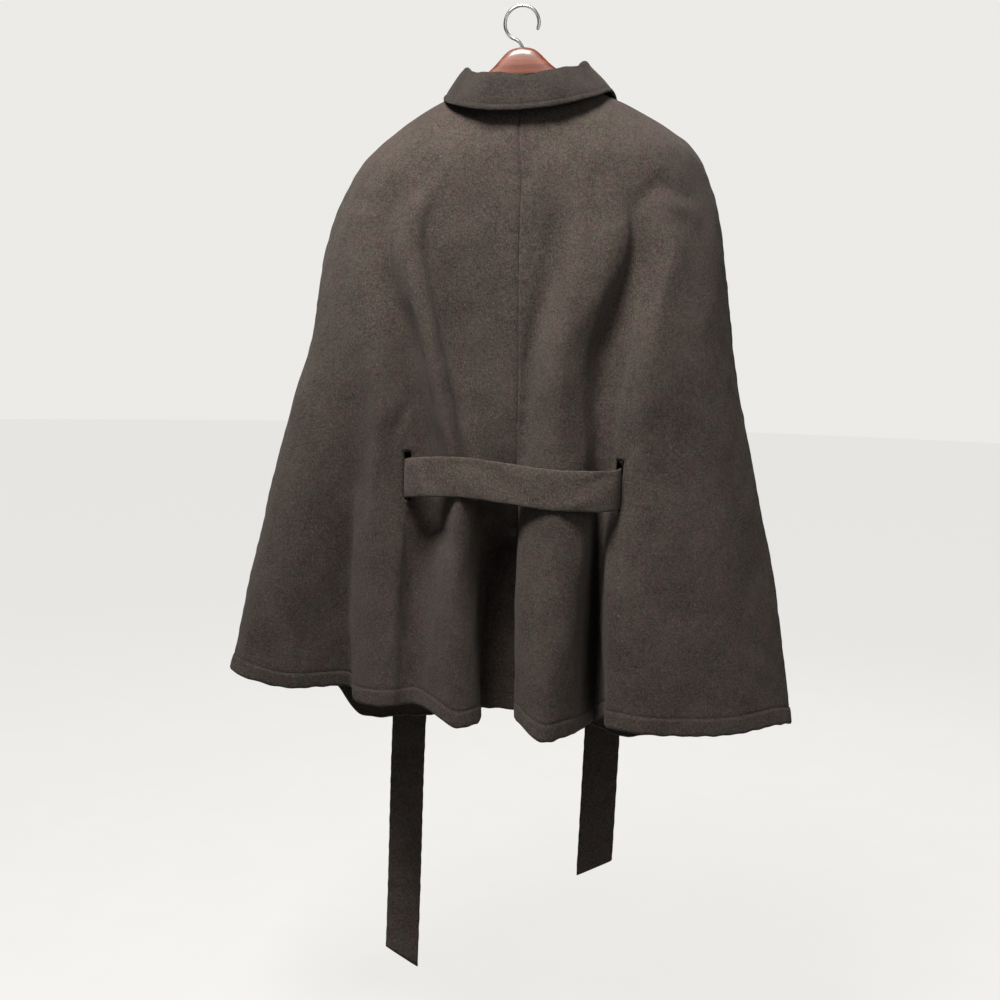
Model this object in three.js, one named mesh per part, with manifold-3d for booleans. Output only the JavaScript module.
// A belted cape coat of felted wool that hangs on a wooden hanger, seen from its back.
// Millimetres, +Z up, -Y towards the back of the coat, +X to the wearer's right.
// The origin is the inner top of the hook, where a rail carries the hanger.
import * as THREE from 'three';
import { mergeVertices } from 'three/addons/utils/BufferGeometryUtils.js';
import Module from 'manifold-3d';

// Cloth
const CLOTH = 2.4;            // thickness of the felted wool
const SEAM = 0.3;             // gap between two pieces that are sewn together
const LAP_GAP = 0.4;          // between the two fronts where they overlap
const LAP = (CLOTH + LAP_GAP) / 2;  // how far each front moves off the middle there

// Levels of the coat below the hook
const CHEST_Z = -380;
const BELT_Z = -518;
const HIP_Z = -640;

// Neck seam
const NECK_HALF_WIDTH = 75;
const NECK_HALF_DEPTH = 58;
const NECK_Y = 4;
const NECK_SIDE_Z = -90;
const NECK_BACK_DROP = 24;
const NECK_FRONT_DROP = 77;

// Belt and its slits
const BELT_WIDTH = 44;
const BELT_THICK = 4;
const BELT_FOLD = 1.5;        // how far each folded edge is rounded in
const BELT_STEPS = 44;        // sections round the body
const SLIT_TOP = 29;          // above the middle of the belt
const SLIT_BOTTOM = 24;       // below the middle of the belt
const TAIL_START = { y: 80, z: BELT_Z - 1 };  // where both tails leave the front slits
const TAIL_END_SLANT = 12;    // how far each edge runs past the middle at the cut end
const TWIST_START = 4;        // distance from the slit at which the belt begins to turn
const TWIST_LENGTH = 90;      // distance at which it hangs flat
const TWIST_STEP = 9;         // from one section to the next while it turns
const TAIL_STEP = 60;         // and further down

// Hanger
const HANGER_TILT = 2;        // degrees, left end lower
const HANGER_HALF = 190;      // half the width of the board it is cut from
const HANGER_FORWARD = 22;    // how far the ends curve to the front
const HANGER_GAP = 1.15;      // between the wood and the shoulder cloth
const HANGER_END = 9;         // length of the rounded ends
const HANGER_BLUNT = 0.12;    // what is left of the squared half section at the very end
const ARM_SHIFT = -4;         // below the hanger's ends the cloth hangs a little to the left
const TIP_SHARE = 0.15;       // share of a fold's height at the arm that the shoulder's tip has
const CROWN_Z = -42;
const BORE = 4.4;
const BORE_DEPTH = 18;
const BORE_ABOVE = 10;        // how far the drill starts above the crown

// Hook
const HOOK_WIRE = 3.8;
const HOOK_INNER = 17;        // inner radius of the crook
const HOOK_TURN = { from: 220, to: -25, step: 24.5 };  // degrees round the rail
const HOOK_STEPS = 40;
const HOOK_SIDES = 5;         // points on each quarter of the wire

// Buttons
const BUTTON_RADIUS = 12.5;
const BUTTON_THICK = 4;
const BUTTON_DISH = 0.8;      // how far the middle lies under the rim
const BUTTON_EDGE = 1.2;      // how far the rim is rounded, below and above
const BUTTON_SIDES = 18;
const BUTTON_SEAT = 0.9;      // the thread under each button
const BUTTON_LEVELS = [48, 183, 330, 425, 535];

const toRad = THREE.MathUtils.degToRad;
const tilt = toRad(HANGER_TILT);

const table = (columns, rows) => rows.map(
  row => Object.fromEntries(columns.map((name, i) => [name, row[i]])));

// Rings over the shoulders, by angle from the middle of the back (0) to the front (180).
// The hanger's tilt is added later.
const SHOULDER_RINGS = table(
  ['angle', 'yokeX', 'yokeY', 'yokeZ', 'tipX', 'tipY', 'tipZ', 'armX', 'armY', 'armZ'], [
    [0, 0, -61, -149, 0, -66, -192, 0, -67, -235],
    [35, 62, -55, -141, 95, -62, -184, 118, -64, -228],
    [65, 104, -30, -123, 165, -30, -167, 187, -30, -213],
    [90, 122, 9, -112, 188, 21, -158, 210, 22, -197],
    [115, 108, 44, -127, 168, 58, -172, 191, 60, -214],
    [145, 66, 66, -166, 100, 77, -208, 118, 80, -247],
    [180, 0, 73, -202, 0, 80, -242, 0, 83, -282],
  ]);

// One row for each fold line, all round the coat: its angle at the neck seam, how far it stands
// out at the arm, its place at chest, belt and hip, its end at the hem, and how many columns run
// to the next line.
const FOLDS = table(
  ['name', 'angle', 'armOut', 'chestX', 'chestY', 'beltX', 'beltY', 'hipX', 'hipY',
    'hemX', 'hemY', 'hemZ', 'columns'], [
    ['side_left', -90, 0, -245, 14, -284, 12, -311, 8, -338, -2, -764, 1],
    ['left_edge', -79, 0, -235, -20, -270, -20, -296, -22, -318, -24, -768, 2],
    ['left_panel', -68, 1, -203, -44, -228, -42, -245, -38, -260, -30, -777, 2],
    ['left_valley', -59, 0, -168, -58, -178, -38, -186, -14, -190, 1, -779, 1],
    ['fold_a_edge', -54, 0, -150, -67, -162, -48, -174, -36, -171, -40, -783, 3],
    ['fold_a_ridge', -49, -3, -134, -70, -140, -66, -142, -62, -142, -66, -780, 1],
    ['slit_left_out', -44, -5, -121, -63, -108.8, -58, -114, -66, -117, -71, -777, 1],
    ['slit_left_in', -41, -4, -114, -58, -101.5, -55, -107, -54, -108, -62, -777, 1],
    ['left_hollow', -37, -1, -106, -54, -81, -46, -93, -44, -93, -56, -777, 2],
    ['fold_a_front', -30, 5, -76, -82, -45, -84, -44, -88, -37, -93, -790, 1],
    ['fold_a_right', -27.5, 3, -67, -76, -37, -76, -30, -75, -17, -75, -788, 2],
    ['back_valley', -25, -2, -60, -61, -29, -57, -25, 10, -30, 12, -796, 2],
    ['back_middle', 3, 0, 17, -69, 17, -57, 12, 13, 9, 13, -796, 1],
    ['fold_b_left', 14, -3, 31, -67, 26, -70, 25, -84, 30, -94, -777, 3],
    ['fold_b', 23, 5, 66, -89, 65, -91, 61, -106, 62, -127, -787, 3],
    ['fold_b_right', 36, 2, 86, -77, 93, -77, 90, -90, 87, -99, -787, 2],
    ['right_valley', 40, -3.5, 102, -53, 105, -48, 104, -6, 106, 0, -798, 2],
    ['fold_c_left', 44, -3.5, 127, -60, 117, -55, 117, -54, 123, -58, -776, 1],
    ['slit_right_in', 47, -2, 138, -70, 124, -62, 121, -77, 127, -84, -778, 1],
    ['slit_right_out', 49, 0, 144, -75, 132.4, -66.5, 131, -86, 137, -93, -777, 1],
    ['fold_c', 54, 3, 159, -83, 156, -80, 158, -92, 166, -101, -778, 2],
    ['right_panel', 67, 0, 205, -58, 222, -60, 238, -66, 256, -78, -779, 2],
    ['right_edge', 79, 0, 235, -22, 262, -22, 286, -24, 312, -34, -776, 1],
    ['side_right', 90, 0, 246, 14, 278, 12, 304, 8, 329, 0, -783, 1],
    ['front_right_edge', 102, 0, 237, 48, 262, 46, 288, 48, 312, 44, -796, 2],
    ['front_right_ridge', 122, 0, 196, 78, 208, 80, 232, 94, 246, 104, -816, 2],
    ['front_right_slit_out', 142, 0, 130, 82, 122.5, 71, 134, 82, 146, 92, -842, 1],
    ['front_right_slit_in', 145, 0, 121, 81, 113.5, 70, 124, 80, 134, 90, -842, 2],
    ['front_right_inner', 154, 0, 66, 88, 62, 80, 62, 88, 60, 98, -818, 2],
    ['front_lap_right', 165, 0, 28, 87, 28, 82, 28, 88, 28, 94, -804, 2],
    ['front_middle', 180, 0, 8, 86, 8, 82, 8, 88, 8, 93, -800, 2],
    ['front_lap_left', 195, 0, -12, 87, -12, 82, -12, 88, -12, 94, -802, 2],
    ['front_left_inner', 206, 0, -50, 88, -46, 80, -46, 88, -46, 98, -818, 2],
    ['front_left_slit_in', 215, 0, -112, 81, -113.5, 70, -118, 78, -122, 86, -834, 1],
    ['front_left_slit_out', 218, 0, -121, 82, -122.5, 71, -128, 80, -134, 88, -835, 2],
    ['front_left_ridge', 234, 0, -180, 84, -190, 84, -198, 94, -204, 100, -842, 1],
    ['front_left_outer', 246, 0, -212, 70, -232, 72, -240, 82, -240, 84, -796, 2],
    ['front_left_edge', 258, 0, -235, 46, -271, 44, -298, 42, -322, 34, -772, 1],
  ]);

// Levels along every fold line, from the neck seam to the hem
const LEVELS = { neck: 0, yoke: 45, tip: 108, arm: 153, chest: 315, belt: 453, hip: 575, hem: 720 };
const SLIT_LEVELS = [LEVELS.belt - SLIT_TOP, LEVELS.belt, LEVELS.belt + SLIT_BOTTOM];
const ROWS = [0, 22, 45, 66, 87, 108, 130, 153, 193, 233, 274, 315, 352, 390,
  ...SLIT_LEVELS, 510, 542, 575, 611, 647, 684, 720];
const SLITS = ['slit_left_out', 'slit_right_in', 'front_right_slit_out', 'front_left_slit_in'];

// Smooth curve through values at uneven places
function smooth(places, values, place) {
  let i = 0;
  while (i < places.length - 2 && place > places[i + 1]) i += 1;
  const slope = k => (values[k + 1] - values[k]) / (places[k + 1] - places[k]);
  const tangent = k => {
    if (k === 0) return slope(0);
    if (k === places.length - 1) return slope(k - 1);
    const before = places[k] - places[k - 1];
    const after = places[k + 1] - places[k];
    return (slope(k - 1) * after + slope(k) * before) / (before + after);
  };
  const span = places[i + 1] - places[i];
  const t = (place - places[i]) / span;
  const rest = 1 - t;
  return values[i] * (1 + 2 * t) * rest * rest + tangent(i) * span * t * rest * rest
    + values[i + 1] * t * t * (3 - 2 * t) - tangent(i + 1) * span * t * t * rest;
}

function smoothPoint(places, points, place) {
  const [x, y, z] = ['x', 'y', 'z'].map(axis => smooth(places, points.map(p => p[axis]), place));
  return new THREE.Vector3(x, y, z);
}

const tilted = point => point.clone().applyAxisAngle(new THREE.Vector3(0, 1, 0), -tilt);

// The neck seam is an ellipse in plan that drops towards the back and the front
function neckPoint(angle) {
  const a = toRad(angle);
  const drop = Math.cos(a) > 0 ? NECK_BACK_DROP : NECK_FRONT_DROP;
  return new THREE.Vector3(
    NECK_HALF_WIDTH * Math.sin(a),
    NECK_Y - NECK_HALF_DEPTH * Math.cos(a),
    NECK_SIDE_Z - drop * Math.cos(a) ** 2);
}

// A point of a ring that is given for one half and mirrored to the other
function mirroredPoint(rows, names, angle) {
  const turn = angle > 180 ? angle - 360 : angle;
  const places = rows.map(row => row.angle);
  const [x, y, z] = names.map(name => smooth(places, rows.map(row => row[name]), Math.abs(turn)));
  return new THREE.Vector3(Math.sign(turn) * x, y, z);
}

// The lines of the front overlap hang straight down from the neck seam
const FRONT_LINES = ['front_lap_right', 'front_middle', 'front_lap_left'];

// Points of one fold line at the eight named levels
function foldPoints(fold) {
  const out = new THREE.Vector3(Math.sin(toRad(fold.angle)), -Math.cos(toRad(fold.angle)), 0)
    .multiplyScalar(fold.armOut);
  const straight = FRONT_LINES.includes(fold.name);
  const angle = straight ? 180 : fold.angle;
  const ring = (name, share, shift = 0) => {
    const point = mirroredPoint(SHOULDER_RINGS, [`${name}X`, `${name}Y`, `${name}Z`], angle);
    point.addScaledVector(out, share);
    point.x += shift;
    const placed = tilted(point);
    if (straight) placed.x = fold.chestX;
    return placed;
  };
  return [
    tilted(neckPoint(fold.angle)), ring('yoke', 0), ring('tip', TIP_SHARE),
    ring('arm', 1, ARM_SHIFT),
    new THREE.Vector3(fold.chestX, fold.chestY, CHEST_Z),
    new THREE.Vector3(fold.beltX, fold.beltY, BELT_Z),
    new THREE.Vector3(fold.hipX, fold.hipY, HIP_Z),
    new THREE.Vector3(fold.hemX, fold.hemY, fold.hemZ),
  ];
}

const foldLines = FOLDS.map(foldPoints);
const onFoldLine = (name, level) => smoothPoint(
  Object.values(LEVELS), foldLines[FOLDS.findIndex(fold => fold.name === name)], level);

// Closed smooth curve through the fold lines at one level, a point for each column
function ringPoints(level) {
  const knots = foldLines.map(points => smoothPoint(Object.values(LEVELS), points, level));
  const count = knots.length;
  const wrapped = [...knots.slice(-2), ...knots, ...knots.slice(0, 3)];
  const places = [0];
  wrapped.slice(1).forEach((p, i) => places.push(places[i] + Math.sqrt(p.distanceTo(wrapped[i]))));
  const ring = [];
  for (let k = 0; k < count; k += 1) {
    const start = k + 2;
    for (let c = 0; c < FOLDS[k].columns; c += 1) {
      const place = places[start] + (places[start + 1] - places[start]) * c / FOLDS[k].columns;
      ring.push(smoothPoint(places.slice(start - 2, start + 4),
        wrapped.slice(start - 2, start + 4), place));
    }
  }
  return ring;
}

// The whole coat as one grid of outer points, rows from neck to hem, columns all round
const grid = ROWS.map(ringPoints);
const columnCount = grid[0].length;
const columnOf = name => FOLDS.slice(0, FOLDS.findIndex(fold => fold.name === name))
  .reduce((sum, fold) => sum + fold.columns, 0);

// Normals of a grid, as the mean of the four faces round each point
function gridNormals(points, closed) {
  const rows = points.length;
  const columns = points[0].length;
  const normals = points.map(row => row.map(() => new THREE.Vector3()));
  const faces = closed ? columns : columns - 1;
  for (let r = 0; r < rows - 1; r += 1) {
    for (let c = 0; c < faces; c += 1) {
      const d = (c + 1) % columns;
      const across = points[r + 1][d].clone().sub(points[r][c]);
      const down = points[r + 1][c].clone().sub(points[r][d]);
      const normal = down.cross(across).normalize();
      [[r, c], [r, d], [r + 1, c], [r + 1, d]].forEach(([i, j]) => normals[i][j].add(normal));
    }
  }
  return normals.map(row => row.map(normal => normal.normalize()));
}

const gridNormal = gridNormals(grid, true);

// A closed body from triangles of shared points
function bodyGeometry(points, triangles) {
  const geometry = new THREE.BufferGeometry();
  const values = points.flatMap(p => [p.x, p.y, p.z]);
  geometry.setAttribute('position', new THREE.Float32BufferAttribute(values, 3));
  geometry.setIndex(triangles.flat());
  return geometry;
}

// A cloth wall between a grid of outer points and the same grid moved inwards.
// Where isOpen(row, column) is true the face is left out and its edge is closed.
function clothWall(outer, normals, isOpen = () => false) {
  const rows = outer.length;
  const columns = outer[0].length;
  const inner = outer.map((row, r) => row.map(
    (p, c) => p.clone().addScaledVector(normals[r][c], -CLOTH)));
  const half = rows * columns;
  const at = (r, c) => r * columns + c;
  const triangles = [];
  const quad = (a, b, c, d) => triangles.push([a, b, c], [a, c, d]);
  const filled = (r, c) => r >= 0 && c >= 0 && r < rows - 1 && c < columns - 1 && !isOpen(r, c);
  const edge = (a, b) => quad(a, b, b + half, a + half);
  for (let r = 0; r < rows - 1; r += 1) {
    for (let c = 0; c < columns - 1; c += 1) {
      if (!filled(r, c)) continue;
      const [a, b, e, d] = [at(r, c), at(r + 1, c), at(r + 1, c + 1), at(r, c + 1)];
      quad(a, b, e, d);
      quad(a + half, d + half, e + half, b + half);
      if (!filled(r - 1, c)) edge(a, d);
      if (!filled(r + 1, c)) edge(e, b);
      if (!filled(r, c - 1)) edge(b, a);
      if (!filled(r, c + 1)) edge(d, e);
    }
  }
  return bodyGeometry([...outer.flat(), ...inner.flat()], triangles);
}

const lapColumns = [columnOf('front_lap_right'), columnOf('front_lap_left')];
// How far a column has moved into the overlap of the fronts, from 0 to 1
function lapShare(column) {
  const outside = Math.max(lapColumns[0] - column, column - lapColumns[1], 0);
  return Math.max(0, 1 - outside / 2);
}

// Column numbers from one to another, in the ring's direction
function columnRange(start, end) {
  const span = (end - start + columnCount) % columnCount;
  return Array.from({ length: span + 1 }, (_, i) => (start + i) % columnCount);
}

// One panel: the columns from one fold line to another, parted by half a seam at both ends
function panel(from, to, shift = 0) {
  const columns = columnRange(columnOf(from), columnOf(to));
  const normals = ROWS.map((_, r) => columns.map(c => gridNormal[r][c]));
  const outer = ROWS.map((_, r) => columns.map(
    c => grid[r][c].clone().addScaledVector(gridNormal[r][c], shift * lapShare(c))));
  for (const row of outer) {
    const last = row.length - 1;
    const first = row[1].clone().sub(row[0]).setLength(SEAM / 2);
    const final = row[last - 1].clone().sub(row[last]).setLength(SEAM / 2);
    row[0].add(first);
    row[last].add(final);
  }
  const open = SLITS.map(columnOf);
  const openRows = [ROWS.indexOf(SLIT_LEVELS[0]), ROWS.indexOf(SLIT_LEVELS[1])];
  return clothWall(outer, normals, (r, c) => open.includes(columns[c]) && openRows.includes(r));
}

// A solid through closed sections of equal count, with flat ends
function loft(sections) {
  const count = sections[0].length;
  const points = sections.flat();
  const triangles = [];
  const last = (sections.length - 1) * count;
  for (let s = 0; s < sections.length - 1; s += 1) {
    for (let i = 0; i < count; i += 1) {
      const j = (i + 1) % count;
      const [a, b, c, d] = [s * count + i, s * count + j, (s + 1) * count + j, (s + 1) * count + i];
      triangles.push([a, b, c], [a, c, d]);
    }
  }
  for (let i = 1; i < count - 1; i += 1) {
    triangles.push([0, i + 1, i], [last, last + i, last + i + 1]);
  }
  return bodyGeometry(points, triangles);
}

// Collar: the top of the stand and the edge of the leaf, by angle from the back
const COLLAR_SHIFT = 5;       // the collar sits a little to the right
const ROLL = 4.5;             // outer radius of the roll over the stand's top
const COLLAR = table(
  ['angle', 'standX', 'standY', 'standZ', 'edgeX', 'edgeY', 'edgeZ'], [
    [0, 0, -57, -88, 0, -78, -123],
    [30, 33, -50, -85, 46, -72, -119],
    [60, 56, -27, -77, 80, -44, -107],
    [90, 65, 4, -69, 96, 6, -94.5],
    [120, 58, 34, -84, 96, 49, -118],
    [150, 33, 55, -118, 82, 77, -166],
    [172.5, 9, 62, -138, 62, 89, -216],
  ]);
const LEAF_BELLY = 1.5;       // how far the leaf bulges halfway down
// Section of the roll, outwards and upwards of the stand's inner top, in rolls
const LEAF_ROLL = table(['side', 'up', 'gap'], [
  [0, 0, 2], [0, 0.5, 2], [1, 1.3, 1], [1.8, 0.5, 1],
]);
// The collar uses the coat's own columns, from one side of the front middle to the other
const collarColumns = columnRange(columnOf('front_middle') + 1, columnOf('front_middle') - 1);
const columnAngles = FOLDS.flatMap((fold, i) => {
  const next = FOLDS[(i + 1) % FOLDS.length].angle;
  const end = next < fold.angle ? next + 360 : next;
  return Array.from({ length: fold.columns },
    (_, c) => fold.angle + (end - fold.angle) * c / fold.columns);
});
const collarPoint = (kind, angle) => {
  const point = mirroredPoint(COLLAR, [`${kind}X`, `${kind}Y`, `${kind}Z`], angle);
  point.x += COLLAR_SHIFT;
  return tilted(point);
};
const outwards = angle => new THREE.Vector3(
  Math.sin(toRad(angle)) / NECK_HALF_WIDTH, -Math.cos(toRad(angle)) / NECK_HALF_DEPTH, 0).normalize();

function collarStand() {
  const columns = collarColumns.map(c => {
    const lift = SEAM + LAP * lapShare(c) * Math.max(gridNormal[0][c].z, 0);
    const seam = grid[0][c].clone().add(new THREE.Vector3(0, 0, lift));
    const top = collarPoint('stand', columnAngles[c]);
    return [0, 0.5, 1].map(t => top.clone().lerp(seam, t));
  });
  const outer = [0, 1, 2].map(r => columns.map(column => column[r]));
  return clothWall(outer, gridNormals(outer, false));
}

function collarLeaf() {
  const columns = collarColumns.map(c => {
    const angle = columnAngles[c];
    const out = outwards(angle);
    const base = collarPoint('stand', angle);
    const edge = collarPoint('edge', angle);
    const roll = LEAF_ROLL.map(({ side, up, gap }) => base.clone()
      .addScaledVector(out, side * ROLL - CLOTH)
      .add(new THREE.Vector3(0, 0, gap * SEAM + up * ROLL)));
    const fall = roll[roll.length - 1];
    const belly = fall.clone().lerp(edge, 0.5).addScaledVector(out, LEAF_BELLY);
    return [...roll, belly, edge];
  });
  const outer = columns[0].map((_, r) => columns.map(column => column[r]));
  return clothWall(outer, gridNormals(outer, false));
}

// Belt route while it stands upright, in plan, with the height of its middle
const BELT_ROUTE = table(['x', 'y', 'z'], [
  [-118, 80, -519], [-118, 62, -519], [-112, 10, -519], [-107, -38, -519], [-106, -57, -518.5],
  [-103.5, -66, -517], [-92, -76, -514.5], [-70, -84, -512], [-45, -87.5, -511], [10, -92, -515],
  [65, -96.5, -520], [92, -94, -520], [112, -86, -520], [125.5, -76, -519.5], [129, -66, -519],
  [129.5, -46, -519], [124, 10, -519], [118, 62, -519], [118, 80, -519],
]);
// Middle of each tail below the front slit
const TAIL_LEFT = table(['x', 'y', 'z'], [
  [-119, 92, -522], [-123, 101, -540], [-127, 104, -566], [-131, 105, -620], [-140, 106, -830],
  [-146, 106, -1167]]);
const TAIL_RIGHT = table(['x', 'y', 'z'], [
  [118, 92, -522], [117, 101, -540], [115, 104, -566], [112, 105, -620], [107, 106, -830],
  [102.5, 106, -1021]]);
const vectors = rows => rows.map(row => new THREE.Vector3(row.x, row.y, row.z));

// Places along a run of points, by distance
function distances(points) {
  const places = [0];
  points.slice(1).forEach((p, i) => places.push(places[i] + p.distanceTo(points[i])));
  return places;
}

// Six corners of the belt's section, with rounded folded edges
function beltSection(middle, width, normal, slant = 0) {
  const half = BELT_WIDTH / 2;
  const thick = BELT_THICK / 2;
  const flat = half - BELT_FOLD;
  const corners = [[-flat, thick], [-half, 0], [-flat, -thick],
    [flat, -thick], [half, 0], [flat, thick]];
  return corners.map(([w, n]) => middle.clone().addScaledVector(width, w)
    .addScaledVector(normal, n).add(new THREE.Vector3(0, 0, slant * w / half)));
}

// Sections of a tail, from the slit down: upright first, then turned to face the front
function tailSections(rows) {
  const points = [new THREE.Vector3(rows[0].x, TAIL_START.y, TAIL_START.z), ...vectors(rows)];
  const places = distances(points);
  const total = places[places.length - 1];
  const side = Math.sign(rows[0].x);
  const frameOf = (width, normal) => new THREE.Quaternion().setFromRotationMatrix(
    new THREE.Matrix4().makeBasis(width, normal, width.clone().cross(normal)));
  const upright = frameOf(new THREE.Vector3(0, 0, 1), new THREE.Vector3(side, 0, 0));
  const hanging = frameOf(new THREE.Vector3(side, 0, 0), new THREE.Vector3(0, -1, 0));
  const stops = [];
  for (let place = TWIST_STEP; place < TWIST_LENGTH; place += TWIST_STEP) stops.push(place);
  for (let place = TWIST_LENGTH; place < total - TAIL_STEP / 2; place += TAIL_STEP) {
    stops.push(place);
  }
  stops.push(total);
  return stops.map(place => {
    const turn = THREE.MathUtils.smoothstep(place, TWIST_START, TWIST_LENGTH);
    const frame = upright.clone().slerp(hanging, turn);
    const width = new THREE.Vector3(1, 0, 0).applyQuaternion(frame);
    const normal = new THREE.Vector3(0, 1, 0).applyQuaternion(frame);
    const slant = place === total ? TAIL_END_SLANT : 0;
    return beltSection(smoothPoint(places, points, place), width, normal, slant);
  });
}

function belt() {
  const route = vectors(BELT_ROUTE);
  const places = distances(route);
  const total = places[places.length - 1];
  const upright = Array.from({ length: BELT_STEPS + 1 }, (_, i) => {
    const place = total * i / BELT_STEPS;
    const ahead = smoothPoint(places, route, Math.min(place + 1, total));
    const behind = smoothPoint(places, route, Math.max(place - 1, 0));
    const tangent = ahead.sub(behind).setZ(0).normalize();
    const normal = new THREE.Vector3(tangent.y, -tangent.x, 0);
    return beltSection(smoothPoint(places, route, place), new THREE.Vector3(0, 0, 1), normal);
  });
  const left = tailSections(TAIL_LEFT).reverse();
  const right = tailSections(TAIL_RIGHT);
  return loft([...left, ...upright, ...right]);
}

// Hanger: its top follows the inside of the shoulder seam, and rises to the crown between
const CROWN_TOP = table(['x', 'z'], [[0, CROWN_Z], [14, -45.5], [33, -63], [54, -78]]);
const ARM_LEVELS = [0, 15, 30, 45, 60, 76, 92, 107];  // of the shoulder cloth that it carries
const HANGER_TALL = table(['x', 'tall'], [[0, 44], [60, 32], [120, 26], [176, 17]]);
const HANGER_WIDE = table(['x', 'half'], [[0, 7.5], [60, 7], [176, 6]]);
const HANGER_STOPS = [0, 7, 14, 22, 30, 40, 52, 66, 80, 96, 112, 128, 144, 158];
const END_STOPS = [8, 2, 0];  // from the end
// Half of a section, as shares of its half width and of its height
const HANGER_SECTION = [[0.25, 0.5], [0.7, 0.45], [1, 0.3], [1, -0.3], [0.8, -0.45], [0.4, -0.5]];
const forward = x => HANGER_FORWARD * (x / HANGER_HALF) ** 2;
const readTable = (rows, name, x) => smooth(rows.map(row => row.x), rows.map(row => row[name]), x);

function shoulderTop() {
  const rings = ['yoke', 'tip', 'arm'].map(
    name => mirroredPoint(SHOULDER_RINGS, [`${name}X`, `${name}Y`, `${name}Z`], 90));
  return [neckPoint(90), ...rings];
}

function hangerTop() {
  const drop = CLOTH + HANGER_GAP;
  const line = shoulderTop();
  const places = [LEVELS.neck, LEVELS.yoke, LEVELS.tip, LEVELS.arm];
  const seam = ARM_LEVELS.map(level => smoothPoint(places, line, level));
  const arm = seam.slice(0, -1).map((p, i) => {
    const along = seam[i + 1].clone().sub(p);
    const normal = new THREE.Vector3(-along.z, 0, along.x).normalize();
    return { x: p.x - normal.x * drop, z: p.z - normal.z * drop };
  });
  return [...CROWN_TOP, ...arm];
}

function hangerBody(wasm) {
  const top = hangerTop();
  const reach = top[top.length - 1].x;
  const round = reach - HANGER_END;
  const stops = [...HANGER_STOPS, ...END_STOPS.map(back => reach - back)];
  const right = stops.map(x => {
    const tall = readTable(HANGER_TALL, 'tall', x);
    const wide = readTable(HANGER_WIDE, 'half', x);
    const blunt = Math.max(HANGER_BLUNT, 1 - (Math.max(x - round, 0) / HANGER_END) ** 2);
    const end = Math.sqrt(blunt);
    const middle = readTable(top, 'z', x) - tall / 2;
    const ring = [...HANGER_SECTION.map(([a, b]) => [-a, b]), ...[...HANGER_SECTION].reverse()];
    return ring.map(([a, b]) => new THREE.Vector3(
      x, forward(x) + a * wide * end, middle + b * tall * (b > 0 ? 1 : end)));
  });
  const left = right.slice(1).reverse().map(
    ring => ring.map(p => new THREE.Vector3(-p.x, p.y, p.z)));
  const body = solid(wasm, loft([...left, ...right]));
  const drill = BORE_DEPTH + BORE_ABOVE;
  const bore = new THREE.CylinderGeometry(BORE / 2, BORE / 2, drill, 16);
  bore.rotateX(Math.PI / 2);
  bore.translate(0, 0, CROWN_Z + BORE_ABOVE - drill / 2);
  return fromSolid(body.subtract(solid(wasm, bore)));
}

// Hook: a wire that swings to the left and round the rail
function hangerHook() {
  const radius = HOOK_INNER + HOOK_WIRE / 2;
  const foot = CROWN_Z - BORE_DEPTH + SEAM;
  const stem = [[0, foot], [0, foot + 6], [0, foot + 12], [0, CROWN_Z], [-3, CROWN_Z + 5]];
  const points = stem.map(([x, z]) => new THREE.Vector3(x, 0, z));
  for (let angle = HOOK_TURN.from; angle >= HOOK_TURN.to; angle -= HOOK_TURN.step) {
    const a = toRad(angle);
    points.push(new THREE.Vector3(
      radius * Math.cos(a), 0, radius * Math.sin(a) - HOOK_INNER));
  }
  const circle = new THREE.Shape().absarc(0, 0, HOOK_WIRE / 2, 0, Math.PI * 2);
  const extrudePath = new THREE.CatmullRomCurve3(points, false, 'centripetal');
  return new THREE.ExtrudeGeometry(
    circle, { steps: HOOK_STEPS, curveSegments: HOOK_SIDES, extrudePath });
}

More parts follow.
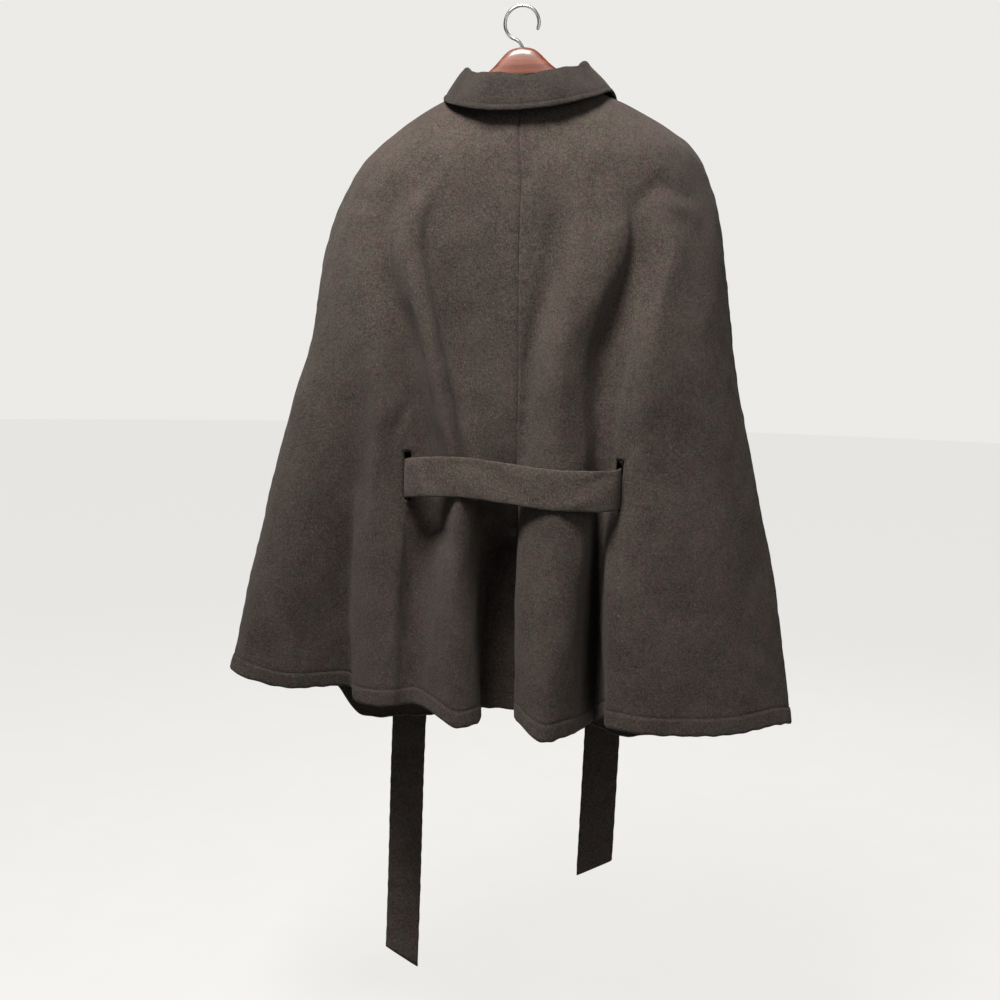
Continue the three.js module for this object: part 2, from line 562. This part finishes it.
// Buttons sit on the right front's outer face along the front middle
function button(level) {
  const here = onFoldLine('front_middle', level);
  const down = here.clone().sub(onFoldLine('front_middle', level - 5)).normalize();
  const normal = new THREE.Vector3(1, 0, 0).cross(down).normalize();
  if (normal.y < 0) normal.negate();
  const rim = BUTTON_RADIUS;
  const top = BUTTON_THICK;
  const edge = BUTTON_EDGE;
  const profile = [[0, 0], [rim - edge, 0], [rim, edge], [rim, top - edge],
    [rim - edge, top], [rim - 3 * edge, top - BUTTON_DISH], [0, top - BUTTON_DISH]];
  const geometry = new THREE.LatheGeometry(
    profile.map(([x, y]) => new THREE.Vector2(x, y)), BUTTON_SIDES);
  const seat = here.addScaledVector(normal, LAP + BUTTON_SEAT);
  geometry.applyQuaternion(
    new THREE.Quaternion().setFromUnitVectors(new THREE.Vector3(0, 1, 0), normal));
  geometry.translate(seat.x, seat.y, seat.z);
  return geometry;
}

function solid(wasm, geometry) {
  const bare = geometry.clone();
  bare.deleteAttribute('normal');
  bare.deleteAttribute('uv');
  const merged = mergeVertices(bare, 1e-4);
  return new wasm.Manifold(new wasm.Mesh({
    numProp: 3,
    vertProperties: new Float32Array(merged.attributes.position.array),
    triVerts: new Uint32Array(merged.index.array),
  }));
}

function fromSolid(body) {
  const mesh = body.getMesh();
  const geometry = new THREE.BufferGeometry();
  geometry.setAttribute('position', new THREE.BufferAttribute(mesh.vertProperties, 3));
  geometry.setIndex(new THREE.BufferAttribute(mesh.triVerts, 1));
  return geometry;
}

const wasm = await Module();
wasm.setup();

const wool = { color: 0x423a37, roughness: 0.95, metalness: 0 };
const varnish = { color: 0x8d573c, roughness: 0.3, metalness: 0 };
const steel = { color: 0xb9bcc0, roughness: 0.25, metalness: 1 };
const horn = { color: 0x2a2422, roughness: 0.45, metalness: 0 };

const coat = new THREE.Group();
const add = (name, geometry, finish, parent = coat) => {
  const mesh = new THREE.Mesh(geometry, new THREE.MeshStandardMaterial(finish));
  mesh.name = name;
  geometry.computeVertexNormals();
  parent.add(mesh);
};

add('back_left', panel('side_left', 'back_middle'), wool);
add('back_right', panel('back_middle', 'side_right'), wool);
add('front_right', panel('side_right', 'front_lap_left', LAP), wool);
add('front_left', panel('front_lap_right', 'side_left', -LAP), wool);
add('collar_stand', collarStand(), wool);
add('collar_leaf', collarLeaf(), wool);
add('belt', belt(), wool);
BUTTON_LEVELS.forEach((level, i) => add(`button_${i + 1}`, button(level), horn));

const hanger = new THREE.Group();
hanger.rotation.y = -tilt;
add('hanger_body', hangerBody(wasm), varnish, hanger);
add('hanger_hook', hangerHook(), steel, hanger);
coat.add(hanger);

export default coat;
